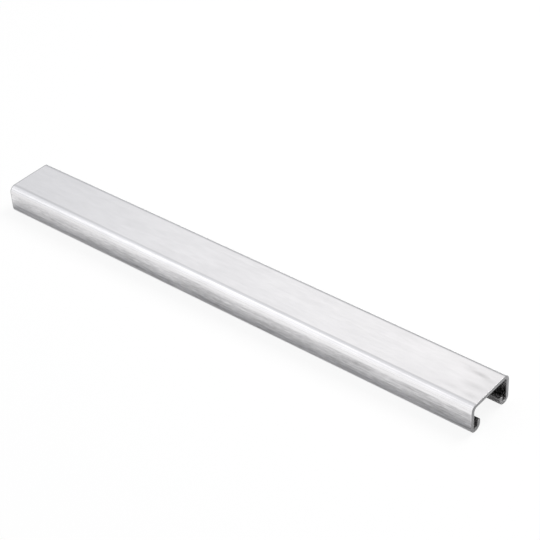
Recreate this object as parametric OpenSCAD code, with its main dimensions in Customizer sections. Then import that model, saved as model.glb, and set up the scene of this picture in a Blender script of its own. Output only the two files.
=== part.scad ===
// Shallow strut channel with a solid back, roll formed from one strip of galvanized steel.
//
// The strip keeps one thickness all the way round: a flat back, two side walls, two lips with
// the slot between them, and two returns that stand up into the channel. A channel nut slides
// along inside and bears on the edges of the returns.
//
// The length runs along X, the width along Y and the height along Z. The piece lies slot down,
// on the undersides of its lips. The origin is at the bottom centre.

/* [Channel] */
// Length of the cut piece
channel_len = 412.75; // [25:0.25:3048]
// Width over the two side walls
channel_w = 41.3; // [30:0.1:62]
// Height from the lips' undersides to the top of the back
channel_h = 22.2; // [15:0.1:83]

/* [Strip] */
// Thickness of the galvanized strip
sheet_t = 2.66; // [1:0.01:3.4]
// Radius on both corners of the strip's slit edges
slit_edge_r = 0.4; // [0.05:0.05:0.6]

/* [Lips and returns] */
// Width of each lip, from the side wall's outer face to the slot
lip_w = 9.5; // [7:0.1:18]
// Height of each return, from the lips' undersides to its slit edge
return_h = 7.1; // [5:0.1:16]

/* [Bends] */
// Inside radius of the bends between the back and the side walls
back_bend_r = 2.6; // [0.5:0.1:9]
// Inside radius of the bends between the side walls and the lips
lip_bend_r = 1.5; // [0.4:0.1:3]
// Inside radius of the bends between the lips and the returns
return_bend_r = 1.7; // [0.4:0.1:3]

/* [Hidden] */
$fn = 96;

// Shortest flat that the rolls leave in the strip between two bends
shortest_flat = 0.2;
quarter_turn = 90;
zinc_grey = [0.84, 0.85, 0.86];

// Share of their full radius that bends can have where their radii add up to `radii` and the
// strip's inside faces give them `room`
function bend_share(radii, room) = min(1, (room - shortest_flat) / radii);

// The lip's two bends sit side by side inside it, so a narrow lip tightens both of them
lip_share = bend_share(lip_bend_r + return_bend_r, lip_w - 2 * sheet_t);
bend_radii = [back_bend_r, lip_bend_r * lip_share, return_bend_r * lip_share];

// Length that a bend takes from each of the two flats that it joins
bend_depths = [for (inner_r = bend_radii) inner_r + sheet_t];

// Flats of one half of the strip, from the middle of the back to the slit edge
flats = [
    channel_w / 2 - bend_depths[0],
    channel_h - bend_depths[0] - bend_depths[1],
    lip_w - bend_depths[1] - bend_depths[2],
    return_h - bend_depths[2]
];

// Quarter bend about the origin, which turns a strip that runs along +X up along +Y
module bend(inner_r, outer_r) {
    difference() {
        intersection() {
            circle(r = outer_r);
            translate([0, -outer_r]) square(outer_r);
        }
        circle(r = inner_r);
    }
}

// Last flat of the strip, with both corners of its slit edge rounded
module slit_flat(length) {
    square([length - slit_edge_r, sheet_t]);
    translate([0, slit_edge_r]) square([length, sheet_t - 2 * slit_edge_r]);
    for (y = [slit_edge_r, sheet_t - slit_edge_r])
        translate([length - slit_edge_r, y]) circle(r = slit_edge_r);
}

// The strip as the rolls form it, flat by flat: each flat has its outer face on the X axis and
// ends in a quarter bend to the left, and the rest of the strip goes on from that bend
module formed_strip(step = 0) {
    if (step < len(bend_radii)) {
        depth = bend_depths[step];
        square([flats[step], sheet_t]);
        translate([flats[step], depth]) {
            bend(bend_radii[step], depth);
            translate([depth, 0]) rotate(quarter_turn) formed_strip(step + 1);
        }
    } else {
        slit_flat(flats[step]);
    }
}

// Cross-section of the channel, back up and slot down
module section() {
    translate([0, channel_h]) mirror([0, 1]) {
        formed_strip();
        mirror([1, 0]) formed_strip();
    }
}

module strut_channel() {
    color(zinc_grey)
        translate([-channel_len / 2, 0, 0])
            rotate([quarter_turn, 0, quarter_turn])
                linear_extrude(channel_len) section();
}

strut_channel();
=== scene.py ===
"""Looks of a galvanized strut channel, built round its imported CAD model.

Units are metres and degrees. X runs along the channel, Y across it and Z up, as in the CAD model.
"""
import math

import bpy
from mathutils import Matrix, Vector


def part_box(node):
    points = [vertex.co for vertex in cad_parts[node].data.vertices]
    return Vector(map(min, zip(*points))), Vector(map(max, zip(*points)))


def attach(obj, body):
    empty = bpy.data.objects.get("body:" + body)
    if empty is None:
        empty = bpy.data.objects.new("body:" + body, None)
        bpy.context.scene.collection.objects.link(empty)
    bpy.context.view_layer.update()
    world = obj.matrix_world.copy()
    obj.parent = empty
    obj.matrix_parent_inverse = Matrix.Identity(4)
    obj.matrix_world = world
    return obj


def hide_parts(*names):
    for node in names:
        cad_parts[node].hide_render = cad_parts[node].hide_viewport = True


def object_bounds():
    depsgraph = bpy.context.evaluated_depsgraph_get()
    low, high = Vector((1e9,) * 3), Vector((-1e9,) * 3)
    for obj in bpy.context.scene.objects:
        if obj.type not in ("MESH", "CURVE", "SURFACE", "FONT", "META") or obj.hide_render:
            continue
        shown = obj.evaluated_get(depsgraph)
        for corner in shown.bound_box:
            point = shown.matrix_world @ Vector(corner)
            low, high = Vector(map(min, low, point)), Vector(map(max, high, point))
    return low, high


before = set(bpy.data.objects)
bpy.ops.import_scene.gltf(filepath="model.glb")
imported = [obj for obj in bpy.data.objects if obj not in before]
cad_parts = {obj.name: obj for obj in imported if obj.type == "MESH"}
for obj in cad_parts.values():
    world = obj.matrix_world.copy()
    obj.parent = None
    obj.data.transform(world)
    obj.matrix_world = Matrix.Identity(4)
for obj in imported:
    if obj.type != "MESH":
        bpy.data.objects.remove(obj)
cad_low, cad_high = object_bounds()

NODE = "strut_channel"
low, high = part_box(NODE)
LENGTH = high.x - low.x
WIDTH = high.y - low.y
HEIGHT = high.z

# Section of the strip, as in the CAD model
SHEET = 0.00266
LIP_WIDTH = 0.0095
RETURN_HEIGHT = 0.0071
BACK_BEND, LIP_BEND, RETURN_BEND = 0.0026, 0.0015, 0.0017
SLIT_EDGE = 0.0004
WALL_TOP = HEIGHT - BACK_BEND - SHEET
WALL_FOOT = LIP_BEND + SHEET

# Rolled-over corners of the cut ends
END_ROUND = 0.0004

# How finely the piece is modelled
BEND_STEPS = 16
SLIT_STEPS = 5
END_STEPS = 4
STATION = 0.008

# Zinc from its dullest to its brightest tone, and bare cut steel
ZINC = ((0.770, 0.764, 0.768, 1), (0.905, 0.897, 0.900, 1))
CUT_STEEL = ((0.245, 0.245, 0.25, 1), (0.375, 0.375, 0.38, 1))

# Depth of the relief in both
RELIEF = 0.0001

# The fine painted dark line along each edge of the flat back, a painted reflection of the crease:
# width and how much it darkens
PAINTED_CREASE_WIDTH = 0.0009
PAINTED_CREASE_DEPTH = 0.065

# Where the side walls' dullness and painted shade fade, measured up from the top and from the foot
# of the flat wall
TOP_FADE = (-0.0006, 0.0002)
FOOT_FADE = (-0.0014, 0.0)

# Painted shade at the foot of the side walls, darker towards the bottom: height and how much it
# darkens
PAINTED_FOOT_SHADE_BAND = 0.0045
PAINTED_FOOT_SHADE_DEPTH = 0.12


# ---------------------------------------------------------------- section

def strip_side(inset):
    """Pairs of points on the strip's outer and inner faces, from the middle of the back to the
    slit edge of the +Y side. A positive inset moves both faces into the sheet."""
    depths = [radius + SHEET for radius in (BACK_BEND, LIP_BEND, RETURN_BEND)]
    flats = [
        WIDTH / 2 - depths[0],
        HEIGHT - depths[0] - depths[1],
        LIP_WIDTH - depths[1] - depths[2],
        RETURN_HEIGHT - depths[2] - SLIT_EDGE,
    ]
    at = Vector((0, HEIGHT))
    along = Vector((1, 0))
    pairs = []

    def add(point, inward, outer_depth, inner_depth):
        pairs.append((point + inward * outer_depth, point + inward * inner_depth))

    for step, flat in enumerate(flats):
        inward = Vector((along.y, -along.x))
        add(at, inward, inset, SHEET - inset)
        at = at + along * flat
        if step < len(depths):
            centre = at + inward * depths[step]
            for i in range(BEND_STEPS):
                turn = math.radians(90) * i / BEND_STEPS
                spoke = along * math.sin(turn) - inward * math.cos(turn)
                add(centre + spoke * depths[step], -spoke, inset, SHEET - inset)
            at = centre + along * depths[step]
            along = inward
    inward = Vector((along.y, -along.x))
    corner = SLIT_EDGE - inset
    for i in range(SLIT_STEPS + 1):
        turn = math.radians(90) * i / SLIT_STEPS
        depth = SLIT_EDGE - corner * math.cos(turn)
        add(at + along * corner * math.sin(turn), inward, depth, SHEET - depth)
    return pairs


def section(inset=0.0):
    """The whole section as pairs of points, from the -Y slit edge to the +Y one."""
    plus_side = strip_side(inset)
    minus_side = [(Vector((-a.x, a.y)), Vector((-b.x, b.y))) for a, b in plus_side]
    return minus_side[:0:-1] + plus_side


def ring(x, pairs):
    """The section's outline at one place along the channel."""
    outline = [outer for outer, _ in pairs] + [inner for _, inner in reversed(pairs)]
    return [(x, p.x, p.y) for p in outline]


def build_channel(zinc, cut_steel):
    """The channel, as rings along its length, with the corners of both cut ends rolled over."""
    whole = section()
    flat_end = LENGTH / 2 - 2 * END_ROUND
    count = round(2 * flat_end / STATION)
    rings = [ring(2 * flat_end * (i / count - 0.5), whole) for i in range(count + 1)]
    for i in range(END_STEPS + 1):
        turn = math.radians(90) * i / END_STEPS
        pairs = section(END_ROUND * (1 - math.cos(turn)))
        x = LENGTH / 2 - END_ROUND + END_ROUND * math.sin(turn)
        rings = [ring(-x, pairs)] + rings + [ring(x, pairs)]

    size = len(rings[0])
    points = [p for outline in rings for p in outline]
    faces = []
    bare = set()  # faces of the rolled-over corners, where the saw left no zinc
    for r in range(len(rings) - 1):
        for i in range(size):
            j = (i + 1) % size
            a, b = r * size, (r + 1) * size
            if not END_STEPS <= r < len(rings) - 1 - END_STEPS:
                bare.add(len(faces))
            faces.append((a + i, b + i, b + j, a + j))
    # The flat cut faces, as strips from the outer to the inner side of the sheet
    skin = len(faces)
    last = (len(rings) - 1) * size
    for i in range(size // 2 - 1):
        near, far = (i, i + 1), (size - 1 - i, size - 2 - i)
        faces.append((near[0], near[1], far[1], far[0]))
        faces.append((last + near[1], last + near[0], last + far[0], last + far[1]))

    mesh = bpy.data.meshes.new("channel")
    mesh.from_pydata(points, [], faces)
    mesh.materials.append(zinc)
    mesh.materials.append(cut_steel)
    for polygon in mesh.polygons:
        cut = polygon.index >= skin
        polygon.material_index = 1 if cut or polygon.index in bare else 0
        polygon.use_smooth = not cut
    mesh.validate()
    mesh.set_sharp_from_angle(angle=math.radians(30))
    channel = bpy.data.objects.new("galvanized_channel", mesh)
    bpy.context.scene.collection.objects.link(channel)
    return channel


# ---------------------------------------------------------------- materials

def new_material(name):
    """A material with its node tree and shader."""
    material = bpy.data.materials.new(name)
    material.use_nodes = True
    tree = material.node_tree
    return material, tree, tree.nodes["Principled BSDF"]


def add_node(tree, kind, settings=(), **inputs):
    """A node with its settings and input sockets filled in; an input may be a socket or a value."""
    node = tree.nodes.new(kind)
    for name, value in dict(settings).items():
        setattr(node, name, value)
    for name, value in inputs.items():
        socket = node.inputs[name.replace("_", " ")]
        if isinstance(value, bpy.types.NodeSocket):
            tree.links.new(value, socket)
        else:
            socket.default_value = value
    return node


def scaled_noise(tree, grain, detail=2.0, roughness=0.5, offset=0.0):
    """Noise between 0 and 1 on the object's own coordinates, with one grain size per axis."""
    place = add_node(tree, "ShaderNodeTexCoord").outputs["Object"]
    mapping = add_node(tree, "ShaderNodeMapping", Vector=place, Scale=[1 / g for g in grain],
                       Location=(offset, offset, offset))
    noise = add_node(tree, "ShaderNodeTexNoise", Vector=mapping.outputs["Vector"], Scale=1.0,
                     Detail=detail, Roughness=roughness)
    return noise.outputs["Fac"]


def remap(tree, value, low_in, high_in, low_out, high_out):
    """The value moved from one range to another and held within it."""
    node = add_node(tree, "ShaderNodeMapRange", Value=value, From_Min=low_in, From_Max=high_in,
                    To_Min=low_out, To_Max=high_out)
    return node.outputs["Result"]


def math_node(tree, operation, *values):
    """One step of arithmetic on sockets or plain numbers."""
    node = tree.nodes.new("ShaderNodeMath")
    node.operation = operation
    for socket, value in zip(node.inputs, values):
        if isinstance(value, bpy.types.NodeSocket):
            tree.links.new(value, socket)
        else:
            socket.default_value = value
    return node.outputs["Value"]


def two_tones(tree, share, tones):
    """A colour between two tones."""
    ramp = add_node(tree, "ShaderNodeValToRGB", Fac=share)
    for element, tone in zip(ramp.color_ramp.elements, tones):
        element.color = tone
    return ramp.outputs["Color"]


def way(azimuth, elevation):
    """The direction of a place round the channel. Azimuth 0 is in front, at -Y, and 90 is at +X."""
    a, e = math.radians(azimuth), math.radians(elevation)
    return Vector((math.sin(a) * math.cos(e), -math.cos(a) * math.cos(e), math.sin(e)))


# Soft marks and painted dark reflections: middle, size and how much they darken. Rub marks on the
# back near the
# +X end, a duller patch there, a painted dark reflection that deepens the crease line along the
# back's -Y edge near the -X end, duller stretches of a side wall, and a painted dark contour along
# the -X cut end's rolled-over edge.
BACK_Z, WALL_Y, PLUS_X = HEIGHT, -WIDTH / 2, LENGTH / 2
DEEP = 0.02
MARKS_AND_PAINTED_REFLECTIONS = [
    ((PLUS_X - 0.0134, 0.0085, BACK_Z), (0.013, 0.0042, DEEP), 0.24),
    ((PLUS_X - 0.0059, 0.0066, BACK_Z), (0.012, 0.0044, DEEP), 0.11),
    ((PLUS_X - 0.0214, 0.0095, BACK_Z), (0.010, 0.0060, DEEP), 0.09),
    ((PLUS_X - 0.0099, -0.0030, BACK_Z), (0.022, 0.0060, DEEP), 0.11),
    ((PLUS_X - 0.0224, -0.0100, BACK_Z), (0.018, 0.0056, DEEP), 0.08),
    ((PLUS_X - 0.0074, -0.0112, BACK_Z), (0.014, 0.0050, DEEP), 0.10),
    ((PLUS_X - 0.0004, 0.0020, BACK_Z), (0.034, 0.0360, DEEP), 0.07),
    # Painted dark reflection: deepens the crease line along the back's -Y edge near the -X end
    ((-PLUS_X + 0.0214, -0.0161, BACK_Z), (0.160, 0.0036, DEEP), 0.08),
    ((PLUS_X - 0.0564, WALL_Y, 0.0145), (0.100, DEEP, 0.0046), 0.14),
    ((PLUS_X - 0.0214, WALL_Y, 0.0105), (0.060, DEEP, 0.0086), 0.16),
    ((-PLUS_X + 0.0214, WALL_Y, 0.0166), (0.110, DEEP, 0.0040), 0.07),
    # Painted dark contour: the dark reflection of the -X cut end's rolled-over edge, seen edge-on
    ((-PLUS_X, 0.0, HEIGHT / 2), (0.0022, 0.20, 0.20), 0.45),
]
MARK_CORE, MARK_RIM = 0.1, 1.2


def marks_and_painted_reflections(tree, place):
    """How much the soft marks and the painted dark reflections darken the zinc. Each fades out from
    its core to its rim.
    """
    total = 0.0
    for middle, size, depth in MARKS_AND_PAINTED_REFLECTIONS:
        scale = [2 / s for s in size]
        mapping = add_node(tree, "ShaderNodeMapping", Vector=place, Scale=scale,
                           Location=[-m * s for m, s in zip(middle, scale)])
        reach = add_node(tree, "ShaderNodeVectorMath", {"operation": "LENGTH"})
        tree.links.new(mapping.outputs["Vector"], reach.inputs[0])
        mark = remap(tree, reach.outputs["Value"], MARK_CORE, MARK_RIM, depth, 0.0)
        total = math_node(tree, "ADD", total, mark)
    return total


def painted_crease_lines(tree, across):
    """A fine painted dark line just below each edge of the flat back: a painted reflection of the
    crease.
    """
    back_edge = WIDTH / 2 - BACK_BEND - SHEET
    off = math_node(tree, "SUBTRACT", math_node(tree, "ABSOLUTE", across),
                    back_edge + PAINTED_CREASE_WIDTH / 2)
    off = math_node(tree, "ABSOLUTE", off)
    return remap(tree, off, PAINTED_CREASE_WIDTH * 0.2, PAINTED_CREASE_WIDTH, PAINTED_CREASE_DEPTH, 0.0)


def wall_share(tree, up):
    """1 on the flat side walls and 0 on the bends, with a soft step between them."""
    below_bend = remap(tree, up, WALL_TOP + TOP_FADE[0], WALL_TOP + TOP_FADE[1], 1.0, 0.0)
    above_lip = remap(tree, up, WALL_FOOT + FOOT_FADE[0], WALL_FOOT + FOOT_FADE[1], 0.0, 1.0)
    return math_node(tree, "MULTIPLY", below_bend, above_lip)


def wall_dulling_and_painted_shade(tree, up, grain):
    """How much the drawn marks, the grain and painted shade darken the side walls: darker overall,
    more at the foot.
    """
    drawn = scaled_noise(tree, (0.024, 0.0018, 0.0018), detail=2.0, roughness=0.6, offset=11.0)
    # The drawn marks are real streaks; their offset also paints the whole wall darker, as painted
    # shade
    rolled = math_node(tree, "ADD", remap(tree, drawn, 0.35, 0.65, 0.26, 0.02),
                       remap(tree, grain, 0.3, 0.7, 0.12, -0.12))
    # Painted shade: darker towards the foot of the wall
    foot = remap(tree, up, WALL_FOOT, WALL_FOOT + PAINTED_FOOT_SHADE_BAND, PAINTED_FOOT_SHADE_DEPTH, 0.0)
    return math_node(tree, "ADD", rolled, foot)


def galvanized():
    """Satin zinc: faint clouds, blotches, the lengthwise streaks of the rolls, soft marks and
    painted shade.
    The side walls carry painted shade, darker than the rolled bends; painted dark reflections line
    the back's edges."""
    material, tree, shader = new_material("galvanized_steel")
    place = add_node(tree, "ShaderNodeTexCoord").outputs["Object"]
    clouds = scaled_noise(tree, (0.045, 0.016, 0.016), detail=3.0)
    blotches = scaled_noise(tree, (0.014, 0.0035, 0.0035), detail=4.0, roughness=0.6, offset=7.0)
    streaks = scaled_noise(tree, (0.110, 0.0009, 0.0009), detail=4.0, roughness=0.6, offset=3.0)
    grain = scaled_noise(tree, (0.0050, 0.0008, 0.0008), detail=3.0)
    axes = add_node(tree, "ShaderNodeSeparateXYZ", Vector=place).outputs
    side = wall_share(tree, axes["Z"])

    patches = math_node(tree, "ADD", remap(tree, clouds, 0.3, 0.7, -0.4, 0.4),
                        remap(tree, blotches, 0.3, 0.7, -0.5, 0.5))
    lines = math_node(tree, "MULTIPLY", remap(tree, streaks, 0.3, 0.7, -1.0, 1.0),
                      remap(tree, side, 0.0, 1.0, 0.12, 0.9))
    tone = math_node(tree, "ADD", patches, lines)
    ramp = two_tones(tree, remap(tree, tone, -1.5, 1.5, 0.0, 1.0), ZINC)
    # Painted shade on the walls, painted dark reflections and real marks, all darkening the zinc
    dull_and_painted_shade = math_node(tree, "MULTIPLY", side, wall_dulling_and_painted_shade(tree, axes["Z"], grain))
    for mark in (marks_and_painted_reflections(tree, place), painted_crease_lines(tree, axes["Y"])):
        dull_and_painted_shade = math_node(tree, "ADD", dull_and_painted_shade, mark)
    shade = math_node(tree, "SUBTRACT", 1.0, dull_and_painted_shade)
    colour = add_node(tree, "ShaderNodeVectorMath", {"operation": "SCALE"}, Scale=shade)
    tree.links.new(ramp, colour.inputs[0])
    tree.links.new(colour.outputs["Vector"], shader.inputs["Base Color"])
    rough = math_node(tree, "ADD", remap(tree, tone, -1.5, 1.5, 0.23, 0.13),
                      math_node(tree, "MULTIPLY", side, 0.03))
    tree.links.new(rough, shader.inputs["Roughness"])
    shader.inputs["Metallic"].default_value = 1.0

    relief = math_node(tree, "ADD", math_node(tree, "MULTIPLY", streaks, 0.7),
                       math_node(tree, "ADD", math_node(tree, "MULTIPLY", blotches, 1.2), grain))
    bump = add_node(tree, "ShaderNodeBump", Strength=remap(tree, side, 0.0, 1.0, 0.05, 0.6),
                    Distance=RELIEF, Height=relief)
    tree.links.new(bump.outputs["Normal"], shader.inputs["Normal"])
    return material


def sawn_steel():
    """Bare steel of the cut ends, with the fine marks of the saw."""
    material, tree, shader = new_material("sawn_steel")
    marks = scaled_noise(tree, (0.004, 0.004, 0.00025), detail=3.0, roughness=0.6)
    ramp = two_tones(tree, remap(tree, marks, 0.3, 0.7, 0.0, 1.0), CUT_STEEL)
    tree.links.new(ramp, shader.inputs["Base Color"])
    shader.inputs["Metallic"].default_value = 0.9
    shader.inputs["Roughness"].default_value = 0.45
    bump = add_node(tree, "ShaderNodeBump", Strength=0.25, Distance=RELIEF, Height=marks)
    tree.links.new(bump.outputs["Normal"], shader.inputs["Normal"])
    return material


# ---------------------------------------------------------------- stage

def seen_directly(tree, by_camera, by_gloss):
    """How much of the plain white background a ray sees: one share for the camera, one for
    reflections and transmission, and none for diffuse light."""
    path = add_node(tree, "ShaderNodeLightPath")
    mirrored = math_node(tree, "MAXIMUM", path.outputs["Is Glossy Ray"],
                         path.outputs["Is Transmission Ray"])
    return math_node(tree, "ADD",
                     math_node(tree, "MULTIPLY", path.outputs["Is Camera Ray"], by_camera),
                     math_node(tree, "MULTIPLY", mirrored, by_gloss))


def build_floor():
    """A plain pale floor that stays white to the camera and keeps the channel's soft shadow."""
    material = bpy.data.materials.new("pale_floor")
    material.use_nodes = True
    tree = material.node_tree
    tree.nodes.clear()
    paper = add_node(tree, "ShaderNodeBsdfDiffuse", Color=(0.92, 0.92, 0.92, 1))
    white = add_node(tree, "ShaderNodeEmission", Color=(1, 1, 1, 1), Strength=1.0)
    mix = add_node(tree, "ShaderNodeMixShader", Fac=seen_directly(tree, 0.9, 0.01))
    tree.links.new(paper.outputs["BSDF"], mix.inputs[1])
    tree.links.new(white.outputs["Emission"], mix.inputs[2])
    output = add_node(tree, "ShaderNodeOutputMaterial")
    tree.links.new(mix.outputs["Shader"], output.inputs["Surface"])

    reach = 12 * LENGTH
    mesh = bpy.data.meshes.new("floor")
    mesh.from_pydata([(-reach, -reach, 0), (reach, -reach, 0), (reach, reach, 0),
                      (-reach, reach, 0)], [], [(0, 1, 2, 3)])
    mesh.materials.append(material)
    floor = bpy.data.objects.new("floor", mesh)
    bpy.context.scene.collection.objects.link(floor)


# Light of the room away from its bright sides
ROOM_LIGHT = 0.03

# Bright sides of the room: azimuth, elevation, tightness and light at the middle
GLOWS = [
    (270, 20, 1.0, (0.54, 0.56, 0.60)),
    (90, 25, 2.5, (0.38, 0.38, 0.39)),
    (332, 4, 11.0, (0.92, 0.91, 0.90)),
    (284, 57, 12.0, (0.55, 0.54, 0.54)),
    (214, 39, 20.0, (0.70, 0.68, 0.665)),
]


def glow(tree, direction, azimuth, elevation, tightness, light):
    """One bright side of the room, that fades away from its middle."""
    dot = add_node(tree, "ShaderNodeVectorMath", {"operation": "DOT_PRODUCT"})
    tree.links.new(direction, dot.inputs[0])
    dot.inputs[1].default_value = way(azimuth, elevation)
    facing = math_node(tree, "MAXIMUM", dot.outputs["Value"], 0.0)
    share = math_node(tree, "POWER", facing, tightness)
    scaled = add_node(tree, "ShaderNodeVectorMath", {"operation": "SCALE"}, Scale=share)
    scaled.inputs[0].default_value = light
    return scaled.outputs["Vector"]


def build_world():
    """A plain studio room with soft bright sides, that the camera sees as white."""
    world = bpy.data.worlds.new("studio_room")
    bpy.context.scene.world = world
    world.use_nodes = True
    tree = world.node_tree
    tree.nodes.clear()
    direction = add_node(tree, "ShaderNodeTexCoord").outputs["Generated"]
    room = add_node(tree, "ShaderNodeCombineXYZ", X=ROOM_LIGHT, Y=ROOM_LIGHT, Z=ROOM_LIGHT)
    room = room.outputs["Vector"]
    for azimuth, elevation, tightness, light in GLOWS:
        both = add_node(tree, "ShaderNodeVectorMath", {"operation": "ADD"})
        tree.links.new(room, both.inputs[0])
        tree.links.new(glow(tree, direction, azimuth, elevation, tightness, light),
                       both.inputs[1])
        room = both.outputs["Vector"]
    lit = add_node(tree, "ShaderNodeBackground", Color=room, Strength=1.0)
    white = add_node(tree, "ShaderNodeBackground", Color=(1, 1, 1, 1), Strength=1.0)
    mix = add_node(tree, "ShaderNodeMixShader", Fac=seen_directly(tree, 1.0, 0.10))
    tree.links.new(lit.outputs["Background"], mix.inputs[1])
    tree.links.new(white.outputs["Background"], mix.inputs[2])
    output = add_node(tree, "ShaderNodeOutputWorld")
    tree.links.new(mix.outputs["Shader"], output.inputs["Surface"])


def add_softbox(name, azimuth, elevation, distance, size, power, colour=(1, 1, 1)):
    """A soft lamp that faces the channel."""
    lamp = bpy.data.lights.new(name, "AREA")
    lamp.shape = "RECTANGLE"
    lamp.size, lamp.size_y = size
    lamp.energy = power
    lamp.color = colour
    holder = bpy.data.objects.new(name, lamp)
    holder.location = way(azimuth, elevation) * distance
    holder.rotation_mode = "QUATERNION"
    holder.rotation_quaternion = way(azimuth, elevation).to_track_quat("Z", "Y")
    bpy.context.scene.collection.objects.link(holder)


def add_camera(azimuth, elevation, roll, distance, focal_length, aside):
    """The camera, turned to the channel's middle and then moved aside in its own picture plane."""
    r = math.radians(roll)
    back = way(azimuth, elevation)
    right = back.cross(Vector((0, 0, 1))).normalized() * -1
    up = back.cross(right)
    right, up = right * math.cos(r) + up * math.sin(r), up * math.cos(r) - right * math.sin(r)
    middle = (cad_low + cad_high) / 2
    data = bpy.data.cameras.new("camera")
    data.lens = focal_length
    data.sensor_width = 36.0
    data.clip_start, data.clip_end = 0.01, 100.0
    camera = bpy.data.objects.new("camera", data)
    turn = Matrix((right, up, back)).transposed().to_4x4()
    place = middle + back * distance + right * aside[0] + up * aside[1]
    camera.matrix_world = Matrix.Translation(place) @ turn
    bpy.context.scene.collection.objects.link(camera)
    bpy.context.scene.camera = camera


# ---------------------------------------------------------------- scene

add_camera(azimuth=41.98, elevation=37.22, roll=-3.86, distance=1.1062, focal_length=107.1,
           aside=(0.02185, 0.00999))
bpy.context.scene.view_settings.view_transform = "Standard"

build_world()
build_floor()
add_softbox("key_box", azimuth=160, elevation=57, distance=1.6, size=(0.60, 0.90), power=21.5,
            colour=(1.0, 0.99, 0.98))
add_softbox("front_box", azimuth=321, elevation=43, distance=1.6, size=(1.15, 1.16), power=2.0,
            colour=(1.0, 0.985, 0.99))

channel = build_channel(galvanized(), sawn_steel())
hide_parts(NODE)
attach(channel, "root")
